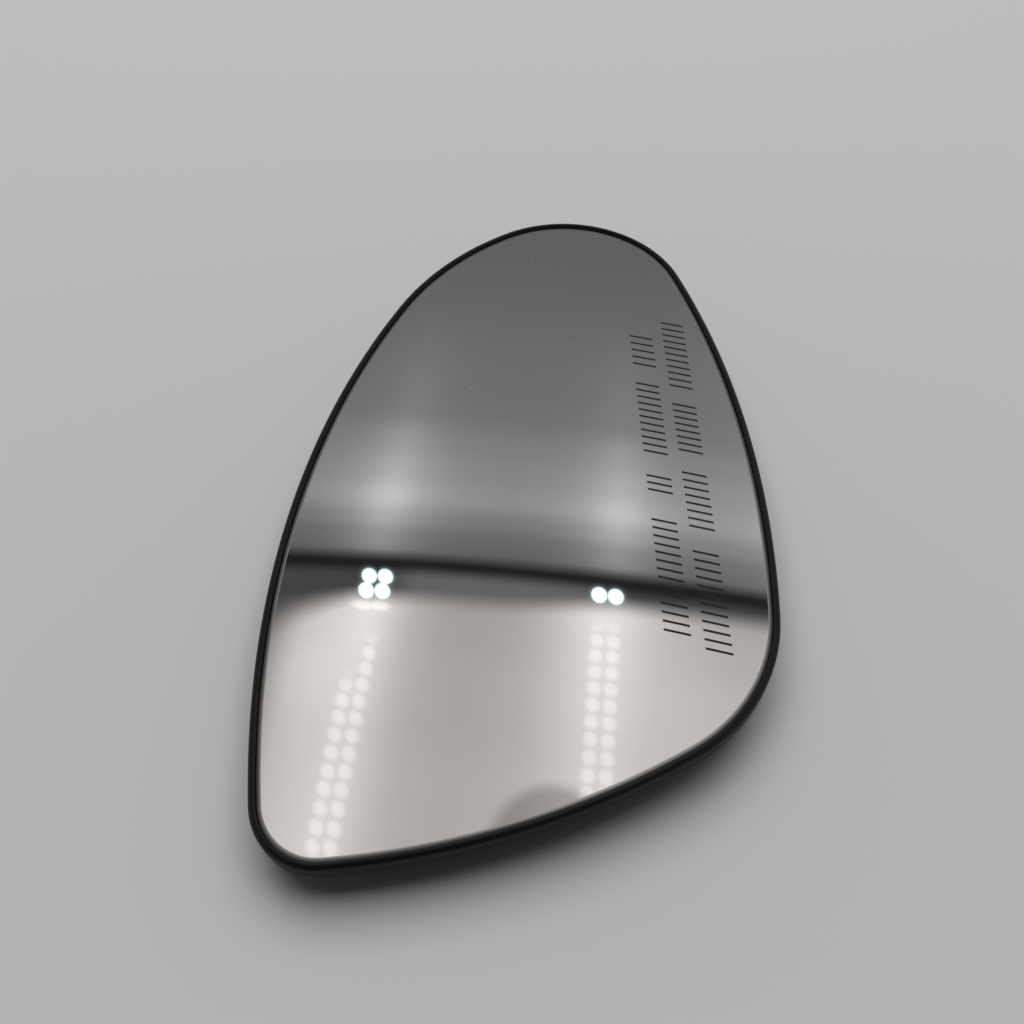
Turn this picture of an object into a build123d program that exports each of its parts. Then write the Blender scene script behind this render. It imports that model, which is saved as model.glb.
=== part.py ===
from build123d import *
import os
from math import cos, degrees, radians, sin, sqrt, tan

# Car door mirror glass: a convex glass, bonded by a foam pad into a moulded holder with a rim.
# Hooks on the holder's back snap on the adjuster disc in the door mirror.
# Millimetres. +Z points out of the glass, +X runs outboard along its length, +Y to its upper edge as mounted.
# The origin is on the axis of the clip socket, in the plane that the hook tips rest on.

# Glass opening of the rim: three corner circles
lower_corner_x = -25.5
lower_corner_y = -12.5
lower_corner_radius = 33.9
outer_end_x = 55.0
outer_end_y = -11.5
outer_end_radius = 26.9
upper_corner_x = -62.1
upper_corner_y = 36.3
upper_corner_radius = 11.4

# Glass opening: the long arcs that wrap the corner circles
lower_edge_radius = 228.4
inner_edge_radius = 152.4
upper_edge_radius = 195.4
shoulder_radius = 62.4
shoulder_start_angle = 29.0

# Convex glass
glass_front_radius = 1400.0
glass_thickness = 2.0
glass_bevel_width = 0.8
glass_bevel_depth = 0.25
glass_back_chamfer = 0.4
glass_gap = 0.1

# Foam pad between glass and holder
pad_thickness = 0.5
pad_gap = 0.5

# Holder floor, glass ledge and rim
floor_thickness = 1.8
ledge_width = 2.5
ledge_gap = 0.1
rim_width = 1.4
rim_height = 0.7
rim_edge_radius = 1.15
rim_inner_chamfer = 0.2
skirt_chamfer = 1.2

# Clip socket on the back
hook_count = 6
hook_length = 9.0
hook_arc = 25.0
hook_thickness = 1.6
hook_grip = 1.2
hook_lead_length = 0.6
hook_lip_length = 1.8
hook_ramp_length = 1.0
socket_lip_radius = 24.0
guide_arc = 26.0
guide_length = 6.0
window_depth = 1.0
window_side_gap = 1.0
seat_inner_radius = 16.0
seat_outer_radius = 20.0
seat_height = 1.4

# Stiffening ribs on the back
rib_thickness = 1.4
rib_height = 2.2
ring_rib_radius = 33.0
border_rib_inset = 9.0

# Sizes that follow from the ones above
flat_turn = radians(90.0 / 4)
socket_wall_radius = socket_lip_radius + hook_grip
socket_outer_radius = socket_wall_radius + hook_thickness
hook_pitch = 360.0 / hook_count
guide_low_z = hook_length - guide_length
window_low_z = hook_length - floor_thickness
glass_back_radius = glass_front_radius - glass_thickness
floor_front_radius = glass_back_radius - pad_thickness
floor_back_radius = floor_front_radius - floor_thickness
floor_middle_radius = floor_back_radius + floor_thickness / 2
rim_top_radius = glass_front_radius + rim_height
dome_centre_z = hook_length - floor_back_radius
floor_middle_z = hook_length + floor_thickness / 2
stock_height = hook_length + floor_thickness + pad_thickness + glass_thickness + rim_height


def wrapping_arc(first, second, radius):
    """Arc of this radius that wraps two circles on the outside, on the way from the first to the second."""
    first_centre, first_radius = first
    second_centre, second_radius = second
    spacing = (second_centre - first_centre).length
    forward = (second_centre - first_centre).normalized()
    inward = Vector(-forward.Y, forward.X)
    first_reach = radius - first_radius
    second_reach = radius - second_radius
    along = (first_reach**2 - second_reach**2 + spacing**2) / (2 * spacing)
    aside = sqrt(first_reach**2 - along**2)
    return first_centre + forward * along + inward * aside, radius


def meeting_point(first, second):
    """Point where two arcs of the outline touch, on the line through their centres."""
    small, large = sorted((first, second), key=lambda arc: arc[1])
    return small[0] + (small[0] - large[0]).normalized() * small[1]


def opening_arcs():
    """Centres and radii of the arcs round the glass opening, anticlockwise from the lower inboard corner."""
    lower_corner = Vector(lower_corner_x, lower_corner_y), lower_corner_radius
    outer_end = Vector(outer_end_x, outer_end_y), outer_end_radius
    upper_corner = Vector(upper_corner_x, upper_corner_y), upper_corner_radius
    lower_edge = wrapping_arc(lower_corner, outer_end, lower_edge_radius)
    turn = radians(shoulder_start_angle)
    shoulder_reach = shoulder_radius - outer_end_radius
    shoulder = outer_end[0] - Vector(cos(turn), sin(turn)) * shoulder_reach, shoulder_radius
    upper_edge = wrapping_arc(shoulder, upper_corner, upper_edge_radius)
    inner_edge = wrapping_arc(upper_corner, lower_corner, inner_edge_radius)
    return [lower_corner, lower_edge, outer_end, shoulder, upper_edge, upper_corner, inner_edge]


def column(growth):
    """Upright column on the glass opening's outline, grown all round by this much."""
    arcs = [(centre, radius + growth) for centre, radius in opening_arcs()]
    starts = [meeting_point(arcs[i - 1], arcs[i]) for i in range(len(arcs))]
    ends = starts[1:] + starts[:1]
    edges = []
    for (centre, radius), start, end in zip(arcs, starts, ends):
        middle = centre + (start + end - centre * 2).normalized() * radius
        edges.append(ThreePointArc(start, middle, end))
    return extrude(make_face(edges), stock_height)


def dome(radius):
    """Ball about the glass's centre of curvature, with its poles to the sides."""
    return Pos(0, 0, dome_centre_z) * Rot(90, 0, 0) * Sphere(radius)


def layer(growth, back_radius, front_radius):
    """Dished layer between two concentric domes, inside the grown outline."""
    return column(growth) & (dome(front_radius) - dome(back_radius))


def turned(section, arc, middle_angle):
    """Section in the XZ plane, turned about the socket's axis through an arc about this angle."""
    sweep = revolve(Plane.XZ * section, Axis.Z, arc)
    return Rot(0, 0, middle_angle - arc / 2) * sweep


def ring_section(inner, outer, low, high):
    """Rectangle between two radii and two heights."""
    return Polygon((inner, low), (outer, low), (outer, high), (inner, high), align=None)


def eased_top(body, radius):
    """The body with its top edge eased by two flats, which follow a quarter circle of this radius."""
    first_top = body.faces().sort_by(Axis.Z)[-1]
    steep = chamfer(first_top.edges(), radius * tan(flat_turn), radius, reference=first_top)
    second_top = steep.faces().sort_by(Axis.Z)[-1]
    top_length = radius * (1 - tan(flat_turn))
    steep_length = radius * (1 - cos(2 * flat_turn)) / cos(flat_turn)
    return chamfer(second_top.edges(), top_length, steep_length, reference=second_top)


def back_face(body):
    """Lowest of the body's domed faces."""
    return body.faces().filter_by(GeomType.SPHERE).sort_by(Axis.Z)[0]


def mirror_glass():
    """Convex glass with a ground bevel round its front, held clear of the rim all round."""
    glass = layer(-glass_gap, glass_back_radius, glass_front_radius)
    front = glass.faces().sort_by(Axis.Z)[-1]
    glass = chamfer(front.edges(), glass_bevel_width, glass_bevel_depth, reference=front)
    return chamfer(back_face(glass).edges(), glass_back_chamfer)


def adhesive_pad():
    """Foam sheet between the holder's floor and the back of the glass, inside the ledge."""
    return layer(-ledge_width - pad_gap, floor_front_radius, glass_back_radius)


def tray():
    """Dished floor with the rim round the glass and the ledge under the glass's edge."""
    body = eased_top(layer(rim_width, floor_back_radius, rim_top_radius), rim_edge_radius)
    body = chamfer(back_face(body).edges(), skirt_chamfer)
    body -= column(0) - dome(glass_back_radius - ledge_gap)
    body -= column(-ledge_width) - dome(floor_front_radius)
    rim_top = body.faces().filter_by(GeomType.SPHERE).sort_by(lambda face: face.bounding_box().max.Z)[-1]
    return chamfer(rim_top.inner_wires()[0].edges(), rim_inner_chamfer)


def hook(middle_angle):
    """Snap hook with a lead-in at its tip and a lip that grips behind the adjuster disc's edge."""
    lip_top = hook_lead_length + hook_lip_length
    section = Polygon(
        (socket_wall_radius, 0),
        (socket_outer_radius, 0),
        (socket_outer_radius, floor_middle_z),
        (socket_wall_radius, floor_middle_z),
        (socket_wall_radius, lip_top + hook_ramp_length),
        (socket_lip_radius, lip_top),
        (socket_lip_radius, hook_lead_length),
        align=None,
    )
    return turned(section, hook_arc, middle_angle)


def window(middle_angle):
    """Opening through the floor that lets the mould form the hook's lip."""
    section = ring_section(socket_lip_radius - window_depth, socket_wall_radius, window_low_z, stock_height)
    side_turn = degrees(window_side_gap / socket_wall_radius)
    return turned(section, hook_arc + 2 * side_turn, middle_angle)


def guide_wall(middle_angle):
    """Plain length of socket wall between two hooks."""
    section = ring_section(socket_wall_radius, socket_outer_radius, guide_low_z, floor_middle_z)
    return turned(section, guide_arc, middle_angle)


def seat():
    """Flat ring in the socket that the adjuster disc bears on."""
    section = ring_section(seat_inner_radius, seat_outer_radius, hook_length - seat_height, floor_middle_z)
    return turned(section, 360, 0)


def ribs():
    """Border rib along the outline, ring rib round the socket, and spokes between them and the guides."""
    border = column(-border_rib_inset)
    web = border - column(-border_rib_inset - rib_thickness)
    ring = ring_section(ring_rib_radius, ring_rib_radius + rib_thickness, 0, stock_height)
    web += border & turned(ring, 360, 0)
    spoke_length = border.bounding_box().diagonal
    spoke = Box(spoke_length, rib_thickness, 2 * stock_height, align=(Align.MIN, Align.CENTER, Align.CENTER))
    for i in range(2 * hook_count):
        spoke_start = ring_rib_radius if i % 2 == 0 else socket_wall_radius
        web += border & Rot(0, 0, i * hook_pitch / 2) * Pos(spoke_start, 0, 0) * spoke
    return web & (dome(floor_middle_radius) - dome(floor_back_radius - rib_height))


def backing_plate():
    """Holder in one moulding: tray, ribs and the clip socket, with a window over each hook."""
    plate = tray() + ribs() + seat()
    for i in range(hook_count):
        plate += hook(i * hook_pitch)
        plate += guide_wall((i + 0.5) * hook_pitch)
    for i in range(hook_count):
        plate -= window(i * hook_pitch)
    return plate


os.makedirs("parts", exist_ok=True)
for piece in (mirror_glass, adhesive_pad, backing_plate):
    export_step(piece(), f"parts/{piece.__name__}.step")
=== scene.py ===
"""Convex door mirror glass, bonded into a moulded holder that clips on the mirror's adjuster disc.

Every piece keeps the place and the form of the solid that it stands for. Lengths are in metres, +Z points
out of the glass, and the hook tips rest on the floor at height zero.
"""

import logging
import math
from abc import ABC, abstractmethod
from collections.abc import Sequence
from dataclasses import dataclass, field
from enum import Enum
from typing import ClassVar

import bmesh
import bpy
import numpy as np
from mathutils import Matrix, Vector


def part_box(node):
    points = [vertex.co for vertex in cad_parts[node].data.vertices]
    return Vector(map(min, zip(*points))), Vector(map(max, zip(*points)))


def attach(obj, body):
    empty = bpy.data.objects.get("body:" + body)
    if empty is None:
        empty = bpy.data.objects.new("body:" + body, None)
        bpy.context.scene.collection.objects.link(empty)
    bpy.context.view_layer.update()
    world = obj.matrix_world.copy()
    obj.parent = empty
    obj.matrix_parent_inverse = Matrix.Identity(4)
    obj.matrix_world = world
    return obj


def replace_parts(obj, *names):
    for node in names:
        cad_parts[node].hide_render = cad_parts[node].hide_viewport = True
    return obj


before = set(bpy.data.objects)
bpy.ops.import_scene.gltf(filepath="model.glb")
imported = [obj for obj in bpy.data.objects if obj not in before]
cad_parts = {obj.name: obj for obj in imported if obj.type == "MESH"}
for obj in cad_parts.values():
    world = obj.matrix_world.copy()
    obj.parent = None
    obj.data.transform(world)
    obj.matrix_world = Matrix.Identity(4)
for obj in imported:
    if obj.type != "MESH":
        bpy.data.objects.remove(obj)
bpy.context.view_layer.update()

MM = 0.001
BODY = "root"
log = logging.getLogger("door_mirror_glass")

Colour = tuple[float, float, float]
Place = tuple[float, float, float]
Stops = Sequence[tuple[float, float]]

BACKDROP: Colour = (0.5, 0.5, 0.51)


class Node(Enum):
    """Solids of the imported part."""

    GLASS = "mirror_glass"
    PAD = "adhesive_pad"
    PLATE = "backing_plate"


class Slot(Enum):
    """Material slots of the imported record."""

    MIRROR = "mirror_coating"
    FOAM = "foam_pad"
    MOULDING = "black_moulding"


class LoftEnd(Enum):
    """How the two ends of a loft are closed."""

    POLES = "a fan to a point in the middle of the first and of the last ring"
    CAPS = "one flat face on the first and on the last ring"
    JOINED = "the last ring runs on into the first"


class Cut(Enum):
    """What a tool solid does to a body."""

    ADD = "UNION"
    TAKE = "DIFFERENCE"


@dataclass(frozen=True)
class Circle:
    """Circle in the plane of the glass opening."""

    x: float
    y: float
    radius: float

    @property
    def centre(self) -> np.ndarray:
        """Centre as an array."""
        return np.array([self.x, self.y])


@dataclass(frozen=True)
class Corner:
    """Corner of a section, rounded by its own radius."""

    across: float
    height: float
    radius: float = 0.0


@dataclass(frozen=True)
class Section:
    """Points of a section with rounded corners, and the outward direction at each of them."""

    points: np.ndarray
    normals: np.ndarray

    def inset(self, depth: float) -> np.ndarray:
        """Points moved into the section by this depth."""
        return self.points - self.normals * depth


def unit(vector: np.ndarray) -> np.ndarray:
    """The vector at length one."""
    return vector / np.linalg.norm(vector)


def rounded_section(corners: Sequence[Corner], closed: bool, steps: int) -> Section:
    """Rounds the corners of a section that runs with its solid on the left-hand side.

    Args:
        corners: Corners in order. An open section keeps its first and last one as plain ends.
        closed: Whether the last corner runs on to the first.
        steps: Facets in each rounded corner.

    Returns:
        The section, with directions that are exact on the flats and round the corners.
    """
    places = [np.array([corner.across, corner.height]) for corner in corners]
    points: list[np.ndarray] = []
    normals: list[np.ndarray] = []

    def outward(start: np.ndarray, end: np.ndarray) -> np.ndarray:
        """Direction out of the solid on the flat between two corners."""
        along = unit(end - start)
        return np.array([along[1], -along[0]])

    count = len(places)
    for i, (place, corner) in enumerate(zip(places, corners)):
        before, after = places[i - 1], places[(i + 1) % count]
        if not closed and i in (0, count - 1):
            points.append(place)
            normals.append(outward(place, after) if i == 0 else outward(before, place))
            continue
        first, last = outward(before, place), outward(place, after)
        turn = math.atan2(first[0] * last[1] - first[1] * last[0], float(first @ last))
        middle = place - (first + last) * math.copysign(corner.radius, turn) / (1 + float(first @ last))
        for k in range(steps + 1):
            angle = turn * k / steps
            spin = np.array([[math.cos(angle), -math.sin(angle)], [math.sin(angle), math.cos(angle)]])
            normal = spin @ first
            points.append(middle + normal * math.copysign(corner.radius, turn))
            normals.append(normal)
    return Section(np.array(points), np.array(normals))


@dataclass(frozen=True)
class GlassOpening:
    """Outline of the rim's opening: three corner circles wrapped by four longer arcs."""

    lower_corner: Circle = Circle(-25.5 * MM, -12.5 * MM, 33.9 * MM)
    outer_end: Circle = Circle(55.0 * MM, -11.5 * MM, 26.9 * MM)
    upper_corner: Circle = Circle(-62.1 * MM, 36.3 * MM, 11.4 * MM)
    lower_edge_radius: float = 228.4 * MM
    inner_edge_radius: float = 152.4 * MM
    upper_edge_radius: float = 195.4 * MM
    shoulder_radius: float = 62.4 * MM
    shoulder_start: float = math.radians(29.0)
    spacing: float = 0.8 * MM

    @staticmethod
    def wrapping_arc(first: Circle, second: Circle, radius: float) -> Circle:
        """Circle of this radius that wraps two others on the outside, on the way from first to second."""
        gap = second.centre - first.centre
        forward = unit(gap)
        inward = np.array([-forward[1], forward[0]])
        first_reach = radius - first.radius
        second_reach = radius - second.radius
        length = float(np.linalg.norm(gap))
        along = (first_reach**2 - second_reach**2 + length**2) / (2 * length)
        aside = math.sqrt(first_reach**2 - along**2)
        middle = first.centre + forward * along + inward * aside
        return Circle(float(middle[0]), float(middle[1]), radius)

    def circles(self) -> list[Circle]:
        """Circles of the seven arcs, anticlockwise from the lower inboard corner."""
        reach = self.shoulder_radius - self.outer_end.radius
        shoulder = Circle(
            self.outer_end.x - reach * math.cos(self.shoulder_start),
            self.outer_end.y - reach * math.sin(self.shoulder_start),
            self.shoulder_radius,
        )
        return [
            self.lower_corner,
            self.wrapping_arc(self.lower_corner, self.outer_end, self.lower_edge_radius),
            self.outer_end,
            shoulder,
            self.wrapping_arc(shoulder, self.upper_corner, self.upper_edge_radius),
            self.upper_corner,
            self.wrapping_arc(self.upper_corner, self.lower_corner, self.inner_edge_radius),
        ]

    def sampled(self) -> tuple[np.ndarray, np.ndarray]:
        """Even points round the outline.

        Returns:
            The points, and the outward direction at each of them. A point moved along its direction by a
            growth lies on the outline grown by as much.
        """
        circles = self.circles()
        turns = []
        for before, here in zip(circles[-1:] + circles[:-1], circles):
            small, large = sorted((before, here), key=lambda circle: circle.radius)
            outward = small.centre - large.centre
            turns.append(math.atan2(outward[1], outward[0]))
        points, normals = [], []
        for i, circle in enumerate(circles):
            sweep = (turns[(i + 1) % len(turns)] - turns[i]) % math.tau
            count = max(2, round(sweep * circle.radius / self.spacing))
            angles = turns[i] + sweep * np.arange(count) / count
            directions = np.stack([np.cos(angles), np.sin(angles)], axis=1)
            points.append(circle.centre + directions * circle.radius)
            normals.append(directions)
        return np.concatenate(points), np.concatenate(normals)


@dataclass(frozen=True)
class Dish:
    """Concentric domes that glass, pad and holder follow.

    A level is a distance in front of the holder's back.
    """

    glass_front_radius: float = 1400.0 * MM
    back_height: float = 9.0 * MM
    floor_thickness: float = 1.8 * MM
    pad_thickness: float = 0.5 * MM
    glass_thickness: float = 2.0 * MM

    @property
    def pad_back(self) -> float:
        """Level of the floor's front and the pad's back."""
        return self.floor_thickness

    @property
    def glass_back(self) -> float:
        """Level of the pad's front and the glass's back."""
        return self.pad_back + self.pad_thickness

    @property
    def glass_front(self) -> float:
        """Level of the glass's front."""
        return self.glass_back + self.glass_thickness

    @property
    def back_radius(self) -> float:
        """Radius of the dome on the holder's back."""
        return self.glass_front_radius - self.glass_front

    @property
    def centre(self) -> np.ndarray:
        """Centre of curvature."""
        return np.array([0.0, 0.0, self.back_height - self.back_radius])

    def raised(self, plan: np.ndarray, level: float | np.ndarray) -> np.ndarray:
        """Points over a plan, on the dome of a level.

        Args:
            plan: Points in plan, in rows of x and y.
            level: Level of the dome, for all points or one for each.

        Returns:
            The points in rows of x, y and z.
        """
        radius = self.back_radius + np.broadcast_to(level, len(plan))
        height = self.centre[2] + np.sqrt(radius**2 - (plan**2).sum(axis=1))
        return np.column_stack([plan, height])


def loft_mesh(
    name: str, rings: Sequence[np.ndarray], end: LoftEnd, poles: Sequence[np.ndarray] = ()
) -> bpy.types.Mesh:
    """Closed mesh through rings that all have the same number of points.

    Args:
        name: Name of the mesh.
        rings: Rings in order, each a closed loop of points.
        end: How the loft is closed.
        poles: Middle points of the first and of the last ring, for ends of that kind.

    Returns:
        The mesh, smooth shaded, with its faces turned outward.
    """
    count = len(rings[0])
    vertices = np.concatenate(list(rings))
    here = np.arange(count)
    ahead = (here + 1) % count
    faces: list[list[int]] = []
    links = len(rings) if end is LoftEnd.JOINED else len(rings) - 1
    for i in range(links):
        low = i * count
        high = (i + 1) % len(rings) * count
        faces += np.column_stack([low + here, low + ahead, high + ahead, high + here]).tolist()
    last = (len(rings) - 1) * count
    if end is LoftEnd.CAPS:
        faces += [here[::-1].tolist(), (last + here).tolist()]
    if end is LoftEnd.POLES:
        first_pole = len(vertices)
        vertices = np.concatenate([vertices, np.array(poles)])
        faces += np.column_stack([ahead, here, np.full(count, first_pole)]).tolist()
        faces += np.column_stack([last + here, last + ahead, np.full(count, first_pole + 1)]).tolist()
    mesh = bpy.data.meshes.new(name)
    mesh.from_pydata(vertices.tolist(), [], faces)
    turn_outward(mesh)
    return mesh


def turn_outward(mesh: bpy.types.Mesh) -> None:
    """Turns the faces of a closed mesh outward and shades them smooth."""
    shape = bmesh.new()
    shape.from_mesh(mesh)
    bmesh.ops.recalc_face_normals(shape, faces=shape.faces)
    shape.to_mesh(mesh)
    shape.free()
    mesh.shade_smooth()


def placed(name: str, data: bpy.types.Mesh | bpy.types.Camera | bpy.types.Light) -> bpy.types.Object:
    """Object of this name for a mesh, a camera or a lamp, in the scene."""
    made = bpy.data.objects.new(name, data)
    bpy.context.scene.collection.objects.link(made)
    return made


def combined(body: bpy.types.Object, tools: Sequence[bpy.types.Object], cut: Cut) -> None:
    """Adds tool solids to a body, or takes them away from it, and deletes them.

    Args:
        body: Object whose mesh changes.
        tools: Closed solids.
        cut: Whether they are added or taken away.
    """
    for tool in tools:
        step = body.modifiers.new(tool.name, "BOOLEAN")
        step.object = tool
        step.operation = cut.value
        step.solver = "MANIFOLD"
    bake_modifiers(body)
    for tool in tools:
        bpy.data.objects.remove(tool)


def bake_modifiers(body: bpy.types.Object) -> None:
    """Replaces the object's mesh by what its modifiers make of it."""
    graph = bpy.context.evaluated_depsgraph_get()
    graph.update()
    old = body.data
    made = bpy.data.meshes.new_from_object(body.evaluated_get(graph))
    made.name = old.name
    body.modifiers.clear()
    body.data = made
    bpy.data.meshes.remove(old)


@dataclass(frozen=True)
class Ramp:
    """Smooth step from a start level at one value to an end level at another."""

    low: float
    high: float
    start: float = 0.0
    end: float = 1.0


class Reading:
    """Number or colour that a node tree works out, with the usual arithmetic."""

    def __init__(self, wire: "Wiring", socket: bpy.types.NodeSocket) -> None:
        """Reads one socket of the wiring's tree."""
        self.wire = wire
        self.socket = socket

    def __add__(self, other: "Signal") -> "Reading":
        """Sum of this and another."""
        return self.wire.math("ADD", self, other)

    def __sub__(self, other: "Signal") -> "Reading":
        """This less another."""
        return self.wire.math("SUBTRACT", self, other)

    def __rsub__(self, other: float) -> "Reading":
        """A number less this."""
        return self.wire.math("SUBTRACT", other, self)

    def __mul__(self, other: "Signal") -> "Reading":
        """Product of this and another."""
        return self.wire.math("MULTIPLY", self, other)

    def __truediv__(self, other: "Signal") -> "Reading":
        """This divided by another."""
        return self.wire.math("DIVIDE", self, other)

    def __abs__(self) -> "Reading":
        """This without its sign."""
        return self.wire.math("ABSOLUTE", self)

    def at_least(self, other: "Signal") -> "Reading":
        """The larger of this and another."""
        return self.wire.math("MAXIMUM", self, other)

    def root(self) -> "Reading":
        """Square root of this."""
        return self.wire.math("SQRT", self)

    def through(self, ramp: Ramp) -> "Reading":
        """Level of a smooth step at this value."""
        inputs = {
            "Value": self,
            "From Min": ramp.low,
            "From Max": ramp.high,
            "To Min": ramp.start,
            "To Max": ramp.end,
        }
        return self.wire.read(self.wire.node("MapRange", inputs, interpolation_type="SMOOTHSTEP"), "Result")


Signal = Reading | float
Inputs = dict[str | int, object]


class Wiring:
    """Short way to place and link the nodes of a material or world."""

    def __init__(self, tree: bpy.types.NodeTree) -> None:
        """Starts on an empty tree."""
        self.tree = tree
        tree.nodes.clear()

    def node(self, kind: str, inputs: Inputs | None = None, **settings: object) -> bpy.types.Node:
        """Adds one node.

        Args:
            kind: Node type without its ShaderNode prefix.
            inputs: Readings or plain values for its inputs, by name or place.
            settings: Properties of the node.

        Returns:
            The node.
        """
        made = self.tree.nodes.new("ShaderNode" + kind)
        for key, value in settings.items():
            setattr(made, key, value)
        for key, value in (inputs or {}).items():
            self.feed(made.inputs[key], value)
        return made

    def feed(self, socket: bpy.types.NodeSocket, value: object) -> None:
        """Links a reading to the input, or sets the input's own value."""
        if isinstance(value, Reading):
            self.tree.links.new(value.socket, socket)
        elif isinstance(value, tuple) and len(value) == 3 and socket.type == "RGBA":
            socket.default_value = (*value, 1.0)
        else:
            socket.default_value = value

    def read(self, node: bpy.types.Node, output: str | int) -> Reading:
        """Reading of one of a node's outputs."""
        return Reading(self, node.outputs[output])

    def math(self, operation: str, *values: Signal) -> Reading:
        """Result of one sum on numbers."""
        return self.read(self.node("Math", dict(enumerate(values)), operation=operation), 0)

    def vector(self, operation: str, *values: object) -> Reading:
        """Result of one sum on vectors or colours."""
        return self.read(self.node("VectorMath", dict(enumerate(values)), operation=operation), "Vector")

    def noise(self, place: Reading, grain: float, detail: float = 3.0) -> Reading:
        """Noise from 0 to 1 with grains of this size."""
        inputs = {"Vector": place, "Scale": 1.0 / grain, "Detail": detail}
        return self.read(self.node("TexNoise", inputs), "Fac")

    def grey_ramp(self, value: Reading, stops: Stops) -> Reading:
        """Grey level over a value from 0 to 1, by stops of place and level."""
        made = self.node("ValToRGB", {"Fac": value})
        ramp = made.color_ramp
        ramp.interpolation = "EASE"
        while len(ramp.elements) < len(stops):
            ramp.elements.new(1.0)
        for element, (place, level) in zip(ramp.elements, stops):
            element.position = place
            element.color = (level, level, level, 1.0)
        return self.read(made, "Color")

    def mixed(self, share: Reading, first: object, second: object) -> Reading:
        """Colour between two colours."""
        inputs = {"Factor": share, "A": first, "B": second}
        return self.read(self.node("Mix", inputs, data_type="RGBA"), "Result")

    def blend(self, share: Reading, first: bpy.types.Node, second: bpy.types.Node) -> bpy.types.Node:
        """Shader between two shaders."""
        return self.node("MixShader", {0: share, 1: self.read(first, 0), 2: self.read(second, 0)})

    def place(self) -> Reading:
        """Place on the object, in metres."""
        return self.read(self.node("TexCoord"), "Object")

    def bump(self, height: Reading, depth: float) -> Reading:
        """Surface direction for a height from 0 to 1 that stands for this depth."""
        inputs = {"Height": height, "Distance": depth, "Strength": 1.0}
        return self.read(self.node("Bump", inputs), "Normal")

    def surface(self, shader: bpy.types.Node) -> None:
        """Ends a material's tree in this shader."""
        self.node("OutputMaterial", {"Surface": self.read(shader, 0)})


def new_material(name: str) -> tuple[bpy.types.Material, Wiring]:
    """Empty node material and its wiring."""
    made = bpy.data.materials.new(name)
    made.use_nodes = True
    return made, Wiring(made.node_tree)


class Finish(ABC):
    """Finish of a surface, as a node material with one shader."""

    name: ClassVar[str]

    @abstractmethod
    def inputs(self, wire: Wiring, place: Reading) -> Inputs:
        """Works out the shader's inputs.

        Args:
            wire: Wiring of the material.
            place: Place on the object.

        Returns:
            Readings or plain values, by the input's name.
        """

    def material(self) -> bpy.types.Material:
        """Node material of the finish."""
        made, wire = new_material(self.name)
        wire.surface(wire.node("BsdfPrincipled", self.inputs(wire, wire.place())))
        return made


@dataclass(frozen=True)
class MirrorCoating(Finish):
    """Bright metal coating, with faint wiped haze and a few specks of dust."""

    name: ClassVar[str] = "mirror_coating"
    reflectance: Colour = (0.6, 0.6, 0.6)
    haze_grain: float = 28.0 * MM
    haze_detail: float = 4.0
    haze_roughness: Ramp = Ramp(0.5, 0.75, 0.012, 0.035)
    dust_spacing: float = 14.0 * MM
    dust_radius: float = 0.07 * MM
    dust_free_share: float = 0.55
    dust_colour: Colour = (0.52, 0.5, 0.47)

    def inputs(self, wire: Wiring, place: Reading) -> Inputs:
        """Shader inputs of the coating."""
        rough = wire.noise(place, self.haze_grain, self.haze_detail).through(self.haze_roughness)
        scale = 1.0 / self.dust_spacing
        cells = wire.node("TexVoronoi", {"Vector": place, "Scale": scale}, voronoi_dimensions="2D")
        chance = wire.read(wire.node("SeparateColor", {"Color": wire.read(cells, "Color")}), "Red")
        radius = chance.through(Ramp(self.dust_free_share, 1.0, 0.0, self.dust_radius * scale))
        dust = wire.math("LESS_THAN", wire.read(cells, "Distance"), radius)
        return {
            "Base Color": wire.mixed(dust, self.reflectance, self.dust_colour),
            "Metallic": 1.0 - dust,
            "Roughness": rough.at_least(dust),
        }


@dataclass(frozen=True)
class GroundEdge(Finish):
    """Ground bevel and edge of the glass."""

    name: ClassVar[str] = "ground_edge"
    colour: Colour = (0.36, 0.355, 0.345)
    metal_share: float = 0.85
    roughness: float = 0.3
    roughness_spread: float = 0.12
    grain: float = 0.25 * MM
    scratch_depth: float = 0.004 * MM

    def inputs(self, wire: Wiring, place: Reading) -> Inputs:
        """Shader inputs of the edge."""
        grit = wire.noise(place, self.grain)
        return {
            "Base Color": self.colour,
            "Metallic": self.metal_share,
            "Roughness": grit * self.roughness_spread + (self.roughness - self.roughness_spread / 2),
            "Normal": wire.bump(grit, self.scratch_depth),
        }


@dataclass(frozen=True)
class EtchedLine(Finish):
    """Matt line where the coating is etched away and the dark backing shows."""

    name: ClassVar[str] = "etched_line"
    colour: Colour = (0.012, 0.012, 0.0118)
    pale_colour: Colour = (0.02, 0.02, 0.0195)
    roughness: float = 0.7
    gloss: float = 0.1
    grain: float = 0.5 * MM

    def inputs(self, wire: Wiring, place: Reading) -> Inputs:
        """Shader inputs of the lines."""
        return {
            "Base Color": wire.mixed(wire.noise(place, self.grain), self.colour, self.pale_colour),
            "Roughness": self.roughness,
            "Specular IOR Level": self.gloss,
        }


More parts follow.
